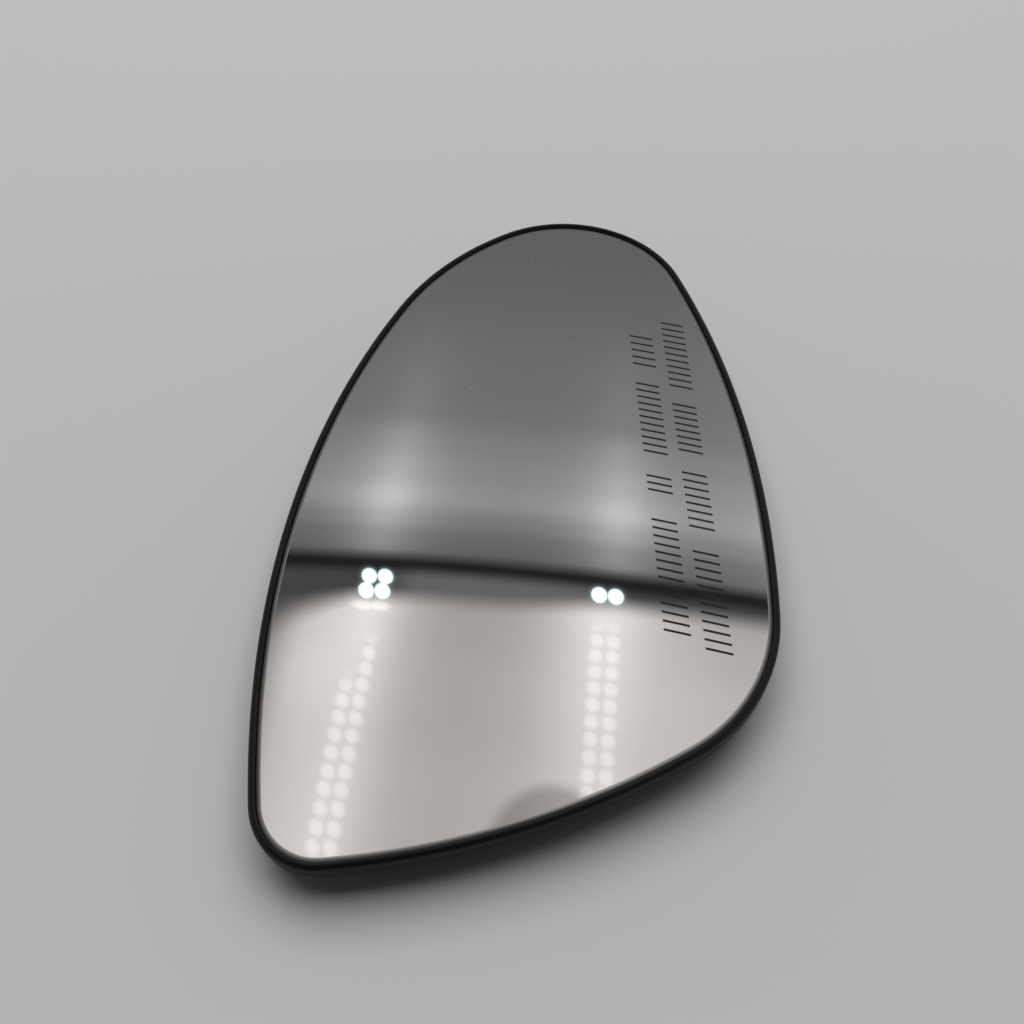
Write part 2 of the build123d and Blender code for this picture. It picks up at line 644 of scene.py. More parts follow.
@dataclass(frozen=True)
class BlackMoulding(Finish):
    """Satin black plastic with the fine grain of a spark-eroded mould."""

    name: ClassVar[str] = "black_moulding"
    colour: Colour = (0.002, 0.0022, 0.0026)
    worn_colour: Colour = (0.003, 0.0033, 0.0038)
    wear: Ramp = Ramp(0.35, 0.7)
    roughness: float = 0.32
    roughness_spread: float = 0.1
    flow_grain: float = 9.0 * MM
    spark_grain: float = 0.28 * MM
    spark_detail: float = 2.0
    spark_depth: float = 0.012 * MM
    gloss: float = 0.34

    def inputs(self, wire: Wiring, place: Reading) -> Inputs:
        """Shader inputs of the moulding."""
        flow = wire.noise(place, self.flow_grain)
        spark = wire.noise(place, self.spark_grain, self.spark_detail)
        return {
            "Base Color": wire.mixed(flow.through(self.wear), self.colour, self.worn_colour),
            "Roughness": flow * self.roughness_spread + (self.roughness - self.roughness_spread / 2),
            "Specular IOR Level": self.gloss,
            "Normal": wire.bump(spark, self.spark_depth),
        }


@dataclass(frozen=True)
class FoamSheet(Finish):
    """Dark closed-cell foam."""

    name: ClassVar[str] = "foam_pad"
    colour: Colour = (0.03, 0.03, 0.032)
    cell_colour: Colour = (0.05, 0.05, 0.053)
    cell: float = 0.45 * MM
    cell_depth: float = 0.12 * MM
    cell_wall: Ramp = Ramp(0.1, 0.7)
    roughness: float = 0.9

    def inputs(self, wire: Wiring, place: Reading) -> Inputs:
        """Shader inputs of the foam."""
        cells = wire.read(wire.node("TexVoronoi", {"Vector": place, "Scale": 1.0 / self.cell}), "Distance")
        return {
            "Base Color": wire.mixed(cells.through(self.cell_wall), self.colour, self.cell_colour),
            "Roughness": self.roughness,
            "Normal": wire.bump(cells, self.cell_depth),
        }


def dressed(piece: bpy.types.Object, materials: Sequence[bpy.types.Material]) -> None:
    """Gives a piece its materials."""
    for material in materials:
        piece.data.materials.append(material)


def off_by(piece: bpy.types.Object, node: Node) -> float:
    """Largest distance between the corners of a piece's box and its solid's, in metres."""
    low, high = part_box(node.value)
    corners = np.array([corner[:] for corner in piece.bound_box])
    return float(max(np.abs(corners.min(axis=0) - low).max(), np.abs(corners.max(axis=0) - high).max()))


@dataclass
class DishedBody:
    """Body that follows the domes, with one section all round the opening's outline."""

    opening: GlassOpening
    dish: Dish
    flat_growth: float = -6.0 * MM
    inner_rings: int = 14
    plan: np.ndarray = field(init=False)
    outward: np.ndarray = field(init=False)

    def __post_init__(self) -> None:
        """Samples the outline once."""
        self.plan, self.outward = self.opening.sampled()

    def ring(self, growth: float, level: float) -> np.ndarray:
        """Outline grown by this much, on the dome of a level."""
        return self.dish.raised(self.plan + self.outward * growth, level)

    def middle(self, level: float) -> np.ndarray:
        """Point in the middle of the outline, on the dome of a level."""
        return self.dish.raised(self.plan.mean(axis=0)[None], level)[0]

    def shrunk(self, level: float) -> list[np.ndarray]:
        """Rings on the dome of a level, from the innermost to just inside the flat's edge."""
        edge = self.plan + self.outward * self.flat_growth
        centre = self.plan.mean(axis=0)
        shares = np.arange(1, self.inner_rings) / self.inner_rings
        return [self.dish.raised(centre + (edge - centre) * share, level) for share in shares]

    def mesh(self, name: str, section: Section) -> bpy.types.Mesh:
        """Closed mesh of an open section that runs from the back's flat round the edge to the front's."""
        back, front = float(section.points[0, 1]), float(section.points[-1, 1])
        rings = self.shrunk(back)
        rings += [self.ring(growth, level) for growth, level in section.points]
        rings += self.shrunk(front)[::-1]
        return loft_mesh(name, rings, LoftEnd.POLES, [self.middle(back), self.middle(front)])

    def set_normals(self, mesh: bpy.types.Mesh, section: Section) -> None:
        """Gives such a mesh the exact directions of its domes and rounded edges.

        Args:
            mesh: Mesh from the same section.
            section: Its section.
        """
        count = len(self.plan)
        places = np.array([vertex.co[:] for vertex in mesh.vertices])
        upward = places - self.dish.centre
        upward /= np.linalg.norm(upward, axis=1)[:, None]
        first = (self.inner_rings - 1) * count
        last = first + len(section.points) * count
        weights = np.zeros((len(places), 2))
        weights[:first, 1] = -1.0
        weights[first:last] = np.repeat(section.normals, count, axis=0)
        weights[last:, 1] = 1.0
        weights[-2] = (0.0, -1.0)
        sideways = np.zeros_like(upward)
        loops = len(places) // count
        sideways[: loops * count, :2] = np.tile(self.outward, (loops, 1))
        normals = sideways * weights[:, :1] + upward * weights[:, 1:]
        mesh.normals_split_custom_set_from_vertices(normals.tolist())


@dataclass
class MirrorGlass(DishedBody):
    """Convex glass with a ground bevel round its front."""

    gap: float = 0.1 * MM
    bevel_width: float = 0.4 * MM
    bevel_depth: float = 0.25 * MM
    front_edge_radius: float = 1.45 * MM
    side_edge_radius: float = 0.1 * MM
    back_edge_radius: float = 0.4 * MM
    inner_rings: int = 30
    edge_steps: int = 10

    def section(self) -> Section:
        """Section of the glass's edge."""
        back, front = self.dish.glass_back, self.dish.glass_front
        corners = [
            Corner(self.flat_growth, back),
            Corner(-self.gap, back, self.back_edge_radius),
            Corner(-self.gap, front - self.bevel_depth, self.side_edge_radius),
            Corner(-self.gap - self.bevel_width, front, self.front_edge_radius),
            Corner(self.flat_growth, front),
        ]
        return rounded_section(corners, closed=False, steps=self.edge_steps)

    def build(self) -> bpy.types.Object:
        """Glass in place of its solid."""
        section = self.section()
        mesh = self.mesh(Node.GLASS.value, section)
        self.set_normals(mesh, section)
        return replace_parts(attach(placed("convex_glass", mesh), BODY), Node.GLASS.value)

    def dress(self, glass: bpy.types.Object, coating: MirrorCoating, edge: GroundEdge) -> None:
        """Coats the domes and grinds the edge.

        Args:
            glass: Object that build made.
            coating: Finish of the domes.
            edge: Finish of everything between them.
        """
        dressed(glass, [coating.material(), edge.material()])
        count = len(self.plan)
        first = (self.inner_rings - 1) * count
        last = first + (len(self.section().points) - 2) * count
        is_edge = np.zeros(len(glass.data.polygons), np.int32)
        is_edge[first:last] = 1
        glass.data.polygons.foreach_set("material_index", is_edge)


@dataclass
class EtchedMarks:
    """Two rows of plain slanted strokes, etched in the coating along the lower edge."""

    dish: Dish
    row_heights: tuple[float, float] = (-27.6 * MM, -35.0 * MM)
    row_blocks: tuple[tuple[tuple[float, float], ...], ...] = (
        ((-33.6 * MM, -7.1 * MM), (-1.5 * MM, 3.8 * MM), (8.5 * MM, 29.1 * MM), (33.3 * MM, 43.6 * MM)),
        ((-37.6 * MM, -14.7 * MM), (-10.5 * MM, 4.5 * MM), (8.7 * MM, 23.0 * MM), (26.7 * MM, 47.8 * MM)),
    )
    stroke_height: float = 5.0 * MM
    stroke_width: float = 0.5 * MM
    stroke_pitch: float = 1.9 * MM
    slant: float = 1.3 * MM
    depth: float = 0.02 * MM
    stand: float = 0.006 * MM

    def stroke(self, x: float, y: float) -> np.ndarray:
        """Corners of one stroke about this place, four on its bottom and four on its top."""
        half = self.stroke_height / 2
        lean = self.slant / 2
        wide = self.stroke_width / 2
        plan = np.array(
            [
                (x - lean - wide, y - half),
                (x - lean + wide, y - half),
                (x + lean + wide, y + half),
                (x + lean - wide, y + half),
            ]
        )
        front = self.dish.glass_front
        levels = (front - self.depth, front + self.stand)
        return np.stack([self.dish.raised(plan, level) for level in levels])

    def build(self) -> bpy.types.Object:
        """All strokes as one piece."""
        marks = bmesh.new()
        for y, blocks in zip(self.row_heights, self.row_blocks):
            for start, end in blocks:
                room = end - start - self.slant - self.stroke_width
                count = round(room / self.stroke_pitch) + 1
                edge = start + (self.slant + self.stroke_width) / 2
                for x in np.linspace(edge, edge + room, count):
                    mesh = loft_mesh("stroke", list(self.stroke(float(x), y)), LoftEnd.CAPS)
                    marks.from_mesh(mesh)
                    bpy.data.meshes.remove(mesh)
        mesh = bpy.data.meshes.new("etched_marks")
        marks.to_mesh(mesh)
        marks.free()
        mesh.shade_flat()
        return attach(placed("etched_marks", mesh), BODY)

    def dress(self, marks: bpy.types.Object, finish: EtchedLine) -> None:
        """Gives the strokes their finish."""
        dressed(marks, [finish.material()])


@dataclass
class AdhesivePad(DishedBody):
    """Foam sheet that bonds the glass into the holder."""

    growth: float = -3.0 * MM
    edge_radius: float = 0.12 * MM
    edge_steps: int = 3

    def build(self) -> bpy.types.Object:
        """Pad in place of its solid."""
        back, front = self.dish.pad_back, self.dish.glass_back
        corners = [
            Corner(self.flat_growth, back),
            Corner(self.growth, back, self.edge_radius),
            Corner(self.growth, front, self.edge_radius),
            Corner(self.flat_growth, front),
        ]
        section = rounded_section(corners, closed=False, steps=self.edge_steps)
        mesh = self.mesh(Node.PAD.value, section)
        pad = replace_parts(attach(placed("foam_pad", mesh), BODY), Node.PAD.value)
        return pad

    def dress(self, pad: bpy.types.Object, finish: FoamSheet) -> None:
        """Gives the pad its foam."""
        dressed(pad, [finish.material()])


@dataclass
class BackingPlate(DishedBody):
    """Moulded holder: dished floor with a rim, ribs on its back, and the clip socket."""

    ledge_width: float = 2.5 * MM
    ledge_gap: float = 0.1 * MM
    rim_width: float = 1.4 * MM
    rim_height: float = 0.7 * MM
    rim_edge_radius: float = 1.15 * MM
    rim_inner_radius: float = 0.25 * MM
    skirt_chamfer: float = 1.2 * MM
    skirt_radius: float = 0.5 * MM
    small_radius: float = 0.2 * MM
    rim_steps: int = 8
    small_steps: int = 3

    hook_count: int = 6
    hook_arc: float = math.radians(25.0)
    hook_thickness: float = 1.6 * MM
    hook_grip: float = 1.2 * MM
    hook_lead_length: float = 0.6 * MM
    hook_lip_length: float = 1.8 * MM
    hook_ramp_length: float = 1.0 * MM
    socket_lip_radius: float = 24.0 * MM
    guide_arc: float = math.radians(26.0)
    guide_length: float = 6.0 * MM
    window_depth: float = 1.0 * MM
    window_side_gap: float = 1.0 * MM
    window_overlap: float = 0.04 * MM
    seat_inner_radius: float = 16.0 * MM
    seat_outer_radius: float = 20.0 * MM
    seat_height: float = 1.4 * MM

    rib_thickness: float = 1.4 * MM
    rib_height: float = 2.2 * MM
    ring_rib_radius: float = 33.0 * MM
    border_rib_inset: float = 9.0 * MM
    arc_step: float = math.radians(1.6)
    spoke_rings: int = 12
    sharp_angle: float = math.radians(40.0)
    flat_face_weight: int = 90

    @property
    def wall_radius(self) -> float:
        """Inner radius of the socket's wall."""
        return self.socket_lip_radius + self.hook_grip

    @property
    def outer_radius(self) -> float:
        """Outer radius of the socket's wall."""
        return self.wall_radius + self.hook_thickness

    @property
    def root_height(self) -> float:
        """Height at which hooks, guides and seat end inside the floor."""
        return self.dish.back_height + self.dish.floor_thickness / 2

    @property
    def root_level(self) -> float:
        """Level at which the ribs end inside the floor."""
        return self.dish.floor_thickness / 2

    def tray(self) -> bpy.types.Object:
        """Dished floor with the rim round the glass and the ledge under the glass's edge."""
        floor_front = self.dish.pad_back
        ledge = self.dish.glass_back - self.ledge_gap
        rim_top = self.dish.glass_front + self.rim_height
        corners = [
            Corner(self.flat_growth, 0.0),
            Corner(self.rim_width - self.skirt_chamfer, 0.0, self.skirt_radius),
            Corner(self.rim_width, self.skirt_chamfer, self.skirt_radius),
            Corner(self.rim_width, rim_top, self.rim_edge_radius),
            Corner(0.0, rim_top, self.rim_inner_radius),
            Corner(0.0, ledge, self.small_radius),
            Corner(-self.ledge_width, ledge, self.small_radius),
            Corner(-self.ledge_width, floor_front, self.small_radius),
            Corner(self.flat_growth, floor_front),
        ]
        section = rounded_section(corners, closed=False, steps=self.rim_steps)
        return placed("holder", self.mesh(Node.PLATE.value, section))

    def block(self, inner: float, outer: float, low: float, high: float) -> Section:
        """Closed section of a wall whose low edges are rounded and whose high end is inside the floor."""
        corners = [
            Corner(inner, low, self.small_radius),
            Corner(outer, low, self.small_radius),
            Corner(outer, high, self.small_radius),
            Corner(inner, high, self.small_radius),
        ]
        return rounded_section(corners, closed=True, steps=self.small_steps)

    def turned_arc(self, name: str, section: Section, arc: float, middle: float) -> bpy.types.Object:
        """Section turned about the socket's axis through part of a turn, with rounded ends.

        Args:
            name: Name of the solid.
            section: Closed section, across by height.
            arc: Angle that it is turned through.
            middle: Angle of its middle.

        Returns:
            The solid.
        """
        end = self.small_radius / self.wall_radius
        swing = np.linspace(0.0, math.pi / 2, self.small_steps + 1)
        start_angles = -arc / 2 + end * (1 - np.cos(swing))
        insets = self.small_radius * (1 - np.sin(swing))
        plain = np.linspace(-arc / 2 + end, arc / 2 - end, max(3, round(arc / self.arc_step)))[1:-1]
        angles = np.concatenate([start_angles, plain, -start_angles[::-1]])
        depths = np.concatenate([insets, np.zeros(len(plain)), insets[::-1]])
        rings = []
        for angle, depth in zip(angles, depths):
            rings.append(self.turned_ring(section.inset(depth), middle + angle))
        return placed(name, loft_mesh(name, rings, LoftEnd.CAPS))

    @staticmethod
    def turned_ring(points: np.ndarray, angle: float) -> np.ndarray:
        """Section points, across by height, at this angle about the socket's axis."""
        across, height = points[:, 0], points[:, 1]
        return np.column_stack([across * math.cos(angle), across * math.sin(angle), height])

    def turned_full(self, name: str, section: Section, on_dish: bool) -> bpy.types.Object:
        """Section turned full circle about the socket's axis.

        Args:
            name: Name of the solid.
            section: Closed section, across by height or by level.
            on_dish: Whether its heights are levels.

        Returns:
            The solid.
        """
        angles = np.linspace(0.0, math.tau, round(math.tau / self.arc_step), endpoint=False)
        circle = np.column_stack([np.cos(angles), np.sin(angles)])
        rings = []
        for across, height in section.points:
            if on_dish:
                rings.append(self.dish.raised(circle * across, height))
            else:
                rings.append(np.column_stack([circle * across, np.full(len(angles), height)]))
        return placed(name, loft_mesh(name, rings, LoftEnd.JOINED))

    def hook(self, angle: float) -> bpy.types.Object:
        """Snap hook with a lead-in at its tip and a lip that grips behind the adjuster disc's edge."""
        lip_top = self.hook_lead_length + self.hook_lip_length
        radius = self.small_radius
        corners = [
            Corner(self.wall_radius, 0.0, radius),
            Corner(self.outer_radius, 0.0, radius),
            Corner(self.outer_radius, self.root_height, radius),
            Corner(self.wall_radius, self.root_height, radius),
            Corner(self.wall_radius, lip_top + self.hook_ramp_length, radius),
            Corner(self.socket_lip_radius, lip_top, radius),
            Corner(self.socket_lip_radius, self.hook_lead_length, radius),
        ]
        section = rounded_section(corners, closed=True, steps=self.small_steps)
        return self.turned_arc("hook", section, self.hook_arc, angle)

    def guide(self, angle: float) -> bpy.types.Object:
        """Plain length of socket wall between two hooks."""
        low = self.dish.back_height - self.guide_length
        section = self.block(self.wall_radius, self.outer_radius, low, self.root_height)
        return self.turned_arc("guide", section, self.guide_arc, angle)

    def window(self, angle: float) -> bpy.types.Object:
        """Opening through the floor over a hook."""
        section = self.block(
            self.socket_lip_radius - self.window_depth,
            self.wall_radius + self.window_overlap,
            self.dish.back_height - self.dish.floor_thickness,
            self.dish.back_height + 2 * self.dish.floor_thickness,
        )
        arc = self.hook_arc + 2 * self.window_side_gap / self.wall_radius
        return self.turned_arc("window", section, arc, angle)

    def seat(self) -> bpy.types.Object:
        """Flat ring in the socket that the adjuster disc bears on."""
        low = self.dish.back_height - self.seat_height
        section = self.block(self.seat_inner_radius, self.seat_outer_radius, low, self.root_height)
        return self.turned_full("seat", section, on_dish=False)

    def ring_rib(self) -> bpy.types.Object:
        """Round rib about the socket."""
        outer = self.ring_rib_radius + self.rib_thickness
        section = self.block(self.ring_rib_radius, outer, -self.rib_height, self.root_level)
        return self.turned_full("ring_rib", section, on_dish=True)

    def border_rib(self) -> bpy.types.Object:
        """Rib along the outline."""
        outer = -self.border_rib_inset
        section = self.block(outer - self.rib_thickness, outer, -self.rib_height, self.root_level)
        rings = [self.ring(growth, level) for growth, level in section.points]
        return placed("border_rib", loft_mesh("border_rib", rings, LoftEnd.JOINED))

    def reach(self, angle: float) -> float:
        """Distance from the socket's axis to the middle of the border rib, at this angle."""
        path = self.plan - self.outward * (self.border_rib_inset + self.rib_thickness / 2)
        bearing = np.arctan2(path[:, 1], path[:, 0])
        nearest = np.argmin(np.abs((bearing - angle + math.pi) % math.tau - math.pi))
        return float(np.linalg.norm(path[nearest]))

    def spoke(self, angle: float, start: float) -> bpy.types.Object:
        """Straight rib from this radius out to the border rib."""
        half = self.rib_thickness / 2
        section = self.block(-half, half, -self.rib_height, self.root_level)
        outward = np.array([math.cos(angle), math.sin(angle)])
        aside = np.array([-outward[1], outward[0]])
        rings = []
        for radius in np.linspace(start + half, self.reach(angle), self.spoke_rings):
            plan = outward * radius + section.points[:, :1] * aside
            rings.append(self.dish.raised(plan, section.points[:, 1]))
        return placed("spoke", loft_mesh("spoke", rings, LoftEnd.CAPS))

    def build(self) -> bpy.types.Object:
        """Holder in place of its solid."""
        holder = self.tray()
        pitch = math.tau / self.hook_count
        added = [self.border_rib(), self.ring_rib(), self.seat()]
        for i in range(2 * self.hook_count):
            start = self.ring_rib_radius if i % 2 == 0 else self.wall_radius
            added.append(self.spoke(i * pitch / 2, start))
        for i in range(self.hook_count):
            added.append(self.hook(i * pitch))
            added.append(self.guide((i + 0.5) * pitch))
        combined(holder, added, Cut.ADD)
        combined(holder, [self.window(i * pitch) for i in range(self.hook_count)], Cut.TAKE)
        holder.data.shade_smooth()
        holder.data.set_sharp_from_angle(angle=self.sharp_angle)
        settled = holder.modifiers.new("settled_shading", "WEIGHTED_NORMAL")
        settled.keep_sharp = True
        settled.weight = self.flat_face_weight
        bake_modifiers(holder)
        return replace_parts(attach(holder, BODY), Node.PLATE.value)

    def dress(self, holder: bpy.types.Object, finish: BlackMoulding) -> None:
        """Gives the holder its plastic."""
        holder.data.materials.clear()
        dressed(holder, [finish.material()])


@dataclass(frozen=True)
class PhotoCamera:
    """Camera at the photograph's viewing angle."""

    place: Place = (-126.15 * MM, 5.19 * MM, 189.18 * MM)
    look_down: float = math.radians(55.5)
    heading: float = math.radians(-1.19)
    lens: float = 37.477
    sensor: float = 36.0
    clip_start: float = 1.0 * MM

    def build(self) -> bpy.types.Object:
        """Camera in the scene."""
        data = bpy.data.cameras.new("photo_camera")
        data.lens = self.lens
        data.sensor_width = self.sensor
        data.clip_start = self.clip_start
        camera = placed("photo_camera", data)
        level = math.cos(self.look_down)
        ahead = (level * math.cos(self.heading), level * math.sin(self.heading), -math.sin(self.look_down))
        turn = Vector(ahead).to_track_quat("-Z", "Y").to_matrix().to_4x4()
        camera.matrix_world = Matrix.Translation(self.place) @ turn
        bpy.context.scene.camera = camera
        return camera


@dataclass(frozen=True)
class PaleFloor:
    """Plain pale floor, dimmer in reflections, that runs out into the backdrop.

    It is clear from below and to light that has come through it, so that the back can be looked at.
    """

    colour: Colour = (0.55, 0.55, 0.562)
    half_size: float = 4.0
    height: float = -0.02 * MM
    fade: Ramp = Ramp(0.27, 0.55)
    roughness: float = 0.75
    mirrored_share: float = 0.5

    def build(self) -> bpy.types.Object:
        """Floor in the scene."""
        signs = [(-1, -1), (1, -1), (1, 1), (-1, 1)]
        corners = [(x * self.half_size, y * self.half_size, self.height) for x, y in signs]
        mesh = bpy.data.meshes.new("floor")
        mesh.from_pydata(corners, [], [(0, 1, 2, 3)])
        mesh.materials.append(self.material())
        floor = placed("floor", mesh)
        return floor

    def material(self) -> bpy.types.Material:
        """Node material of the floor."""
        made, wire = new_material("pale_floor")
        path = wire.node("LightPath")
        dim = tuple(part * self.mirrored_share for part in self.colour)
        shown = wire.mixed(wire.read(path, "Is Glossy Ray"), self.colour, dim)
        paper = wire.node("BsdfDiffuse", {"Color": shown, "Roughness": self.roughness})
        sweep = wire.node("Emission", {"Color": BACKDROP})
        distance = wire.read(wire.node("VectorMath", {0: wire.place()}, operation="LENGTH"), "Value")
        is_sweep = distance.through(self.fade) * wire.read(path, "Is Camera Ray")
        front = wire.blend(is_sweep, paper, sweep)
        below = wire.read(wire.node("NewGeometry"), "Backfacing")
        clear = below.at_least(wire.read(path, "Transparent Depth"))
        wire.surface(wire.blend(clear, front, wire.node("BsdfTransparent")))
        return made


@dataclass(frozen=True)
class Softbox:
    """Soft lamp that lights the scene and doesn't show in the glass. It is turned to the origin."""

    name: str
    place: Place
    length: float
    width: float
    power: float

    def build(self) -> bpy.types.Object:
        """Lamp in the scene."""
        data = bpy.data.lights.new(self.name, "AREA")
        data.shape = "RECTANGLE"
        data.size = self.width
        data.size_y = self.length
        data.energy = self.power
        lamp = placed(self.name, data)
        lamp.location = self.place
        lamp.rotation_euler = (-Vector(self.place)).to_track_quat("-Z", "Y").to_euler()
        lamp.visible_glossy = False
        lamp.visible_camera = False
        return lamp


@dataclass(frozen=True)
class LampStrip:
    """Strip of two columns of small round lamps along the tent's roof.

    Places are measured on a roof at height one: ahead along the tent, and aside to its left. A column shows
    its veiled lamps from its start towards the tent's open side.
    """

    aside: float
    spread: float
    wall_aside: float
    wall_spread: float
    wall_gain: float
    left_start: float
    right_start: float
    bare_lamps: tuple[float, ...] = ()
    end_lamp: float | None = None


@dataclass(frozen=True)
class LampDisc:
    """Look of one kind of lamp: a disc of this radius at half its light, with a soft edge."""

    radius: float
    blur: float
    level: float

    @property
    def fall(self) -> Ramp:
        """Light over the distance from its middle."""
        return Ramp(self.radius + self.blur, self.radius - self.blur, 0.0, self.level)


@dataclass(frozen=True)
class LightTent:
    """Soft studio tent round the object: pale walls, a bright roof with lamp strips, and a dim open side.

    Places on it are measured as on its lamp strips.
    """

    heading: float = math.radians(-7.1)
    least_rise: float = 0.02
    fill: Ramp = Ramp(-0.2, 0.5, 0.05, 0.55)
    under_side: tuple[float, float] = (0.6, 0.8)
    under_light: Ramp = Ramp(-0.8, 0.8, 0.6, 2.4)

    roof_tint: Colour = (1.045, 1.0, 0.97)
    wall_tint: Colour = (1.01, 1.0, 1.0)
    wall_tint_start: Ramp = Ramp(0.5, 0.58)

    roof_stops: Stops = ((0.0, 0.56), (0.25, 0.52), (0.4, 0.45), (0.46, 0.38), (0.52, 0.32))
    roof_glow_stops: Stops = ((0.0, 0.46), (0.3, 0.51), (0.4, 0.64), (0.46, 0.77), (0.52, 0.9))
    roof_left: Ramp = Ramp(0.24, 0.31)
    roof_left_lift: Ramp = Ramp(0.25, 0.45, 0.3, 0.8)
    roof_right_lift: Ramp = Ramp(-0.08, -0.2, 1.0, 1.4)
    roof_edge: Ramp = Ramp(-0.1, 0.08, 0.529, 0.514)
    roof_edge_blur: float = 0.02
    roof_edge_fade: Ramp = Ramp(0.9, -1.1)
    roof_side_fade: Ramp = Ramp(0.41, 0.32)
    roof_corner_start: float = 0.27
    roof_corner_slope: float = 0.35
    roof_corner_blur: float = 0.2

    side_ratio: float = 1.4
    seam_tilt: float = 0.01
    wall_right_lift: Ramp = Ramp(-0.12, -0.3, 1.0, 1.15)
    wall_stops: Stops = (
        (0.0, 0.0),
        (0.56, 0.01),
        (0.57, 0.025),
        (0.59, 0.15),
        (0.62, 0.18),
        (0.645, 0.23),
        (0.69, 0.34),
        (0.95, 0.24),
        (1.5, 0.19),
        (2.4, 0.25),
        (4.0, 0.34),
        (8.0, 0.38),
    )
    wall_glow_stops: Stops = (
        (0.56, 0.0),
        (0.575, 0.01),
        (0.595, 0.23),
        (0.62, 0.25),
        (0.645, 0.37),
        (0.685, 0.48),
        (0.74, 0.31),
        (0.8, 0.2),
        (0.87, 0.07),
        (1.2, 0.0),
    )

    shelf_level: float = 0.08
    shelf_rise: float = 0.11
    shelf_right: Ramp = Ramp(-0.12, -0.02)
    shelf_left: Ramp = Ramp(0.24, 0.18)
    shelf_edge: Ramp = Ramp(0.569, 0.54)

    front_level: float = 0.09
    front_core: float = 0.02
    front_edge: Ramp = Ramp(-0.85, -0.3)

    lens_hole: tuple[float, float] = (0.198, -0.023)
    lens_hole_edge: Ramp = Ramp(0.0625, 0.0865, 0.58, 1.0)

    column_offset: float = 0.011
    lamp_pitch: float = 0.0229
    lamp_phase: float = 0.175
    lamp_stretch: float = 1.16
    lamp_slant: float = 0.0955
    lamp_slant_aside: float = 0.55
    lamp_start: Ramp = Ramp(0.01, -0.035)
    lamp_near_end: Ramp = Ramp(-0.5, -0.4)
    veiled_lamp: LampDisc = LampDisc(0.0084, 0.004, 0.25)
    bare_lamp: LampDisc = LampDisc(0.0103, 0.0022, 2.4)
    bare_lamp_halo: LampDisc = LampDisc(0.0125, 0.0065, 0.16)
    bare_lamp_tint: Colour = (0.72, 1.0, 1.04)
    end_lamp: LampDisc = LampDisc(0.014, 0.007, 0.42)
    end_lamp_flatness: float = 2.2
    strips: tuple[LampStrip, ...] = (
        LampStrip(
            aside=0.2437,
            spread=0.047,
            wall_aside=0.252,
            wall_spread=0.05,
            wall_gain=1.12,
            left_start=0.4,
            right_start=0.457,
            bare_lamps=(0.5457, 0.5222),
            end_lamp=0.499,
        ),
        LampStrip(
            aside=-0.068,
            spread=0.07,
            wall_aside=-0.079,
            wall_spread=0.05,
            wall_gain=1.06,
            left_start=0.503,
            right_start=0.503,
            bare_lamps=(0.543,),
        ),
        LampStrip(
            aside=-0.38,
            spread=0.03,
            wall_aside=-0.38,
            wall_spread=0.07,
            wall_gain=0.85,
            left_start=0.485,
            right_start=0.485,
        ),
    )

    def build(self) -> bpy.types.World:
        """World of the scene."""
        world = bpy.data.worlds.new("light_tent")
        world.use_nodes = True
        bpy.context.scene.world = world
        wire = Wiring(world.node_tree)
        view = wire.read(wire.node("TexCoord"), "Generated")
        up = wire.read(wire.node("SeparateXYZ", {0: view}), "Z")
        forward = self.along(wire, view, 0.0)
        leftward = self.along(wire, view, math.pi / 2)
        rise = up.at_least(self.least_rise)
        above = self.tent_light(wire, forward / rise, leftward / rise)
        below = (forward * self.under_side[0] + leftward * self.under_side[1]).through(self.under_light)
        seen = wire.mixed(wire.math("LESS_THAN", up, 0.0), above, below)
        path = wire.node("LightPath")
        shiny = wire.read(path, "Is Glossy Ray").at_least(wire.read(path, "Is Transmission Ray"))
        light = wire.mixed(shiny, forward.through(self.fill), seen)
        light = wire.mixed(wire.read(path, "Is Camera Ray"), light, BACKDROP)
        background = wire.node("Background", {"Color": light, "Strength": 1.0})
        wire.node("OutputWorld", {"Surface": wire.read(background, 0)})
        return world

    def along(self, wire: Wiring, view: Reading, turn: float) -> Reading:
        """Share of a direction along the tent's heading, turned to the left by an angle."""
        axis = (math.cos(self.heading + turn), math.sin(self.heading + turn), 0.0)
        return wire.read(wire.node("VectorMath", {0: view, 1: axis}, operation="DOT_PRODUCT"), "Value")

    def tent_light(self, wire: Wiring, ahead: Reading, aside: Reading) -> Reading:
        """Light that comes from a place on the tent, as the glass shows it.

        Args:
            wire: Wiring of the world.
            ahead: Place along the tent.
            aside: Place to its left.

        Returns:
            The light's colour.
        """
        distance = abs(ahead)
        away = distance.at_least(abs(aside) * self.side_ratio) - aside * self.seam_tilt
        wall = self.level(wire, away, self.wall_stops)
        wall_glow = self.level(wire, away, self.wall_glow_stops)
        roof = self.level(wire, distance, self.roof_stops) * self.roof_lift(distance, aside)
        roof_glow = self.level(wire, distance, self.roof_glow_stops)
        glare: Signal = 0.0
        for strip in self.strips:
            off = aside - strip.aside
            wall += self.glow(wall_glow * strip.wall_gain, aside - strip.wall_aside, strip.wall_spread)
            roof += self.glow(roof_glow, off, strip.spread)
            for light in self.veiled_lamps(wire, ahead, off, strip):
                roof += light
            for light in self.bare_lamps(wire, ahead, off, strip):
                glare = light + glare
        cover = self.roof_cover(distance, aside)
        light = wall * aside.through(self.wall_right_lift)
        light += roof * cover * self.lens_shade(ahead, aside)
        light += self.shelf(away, aside) * (1.0 - cover)
        light = self.open_front(light, ahead, aside)
        tint = wire.mixed(ahead.through(self.wall_tint_start), self.roof_tint, self.wall_tint)
        tinted_glare = wire.vector("MULTIPLY", self.bare_lamp_tint, glare)
        return wire.vector("ADD", wire.vector("MULTIPLY", tint, light), tinted_glare)

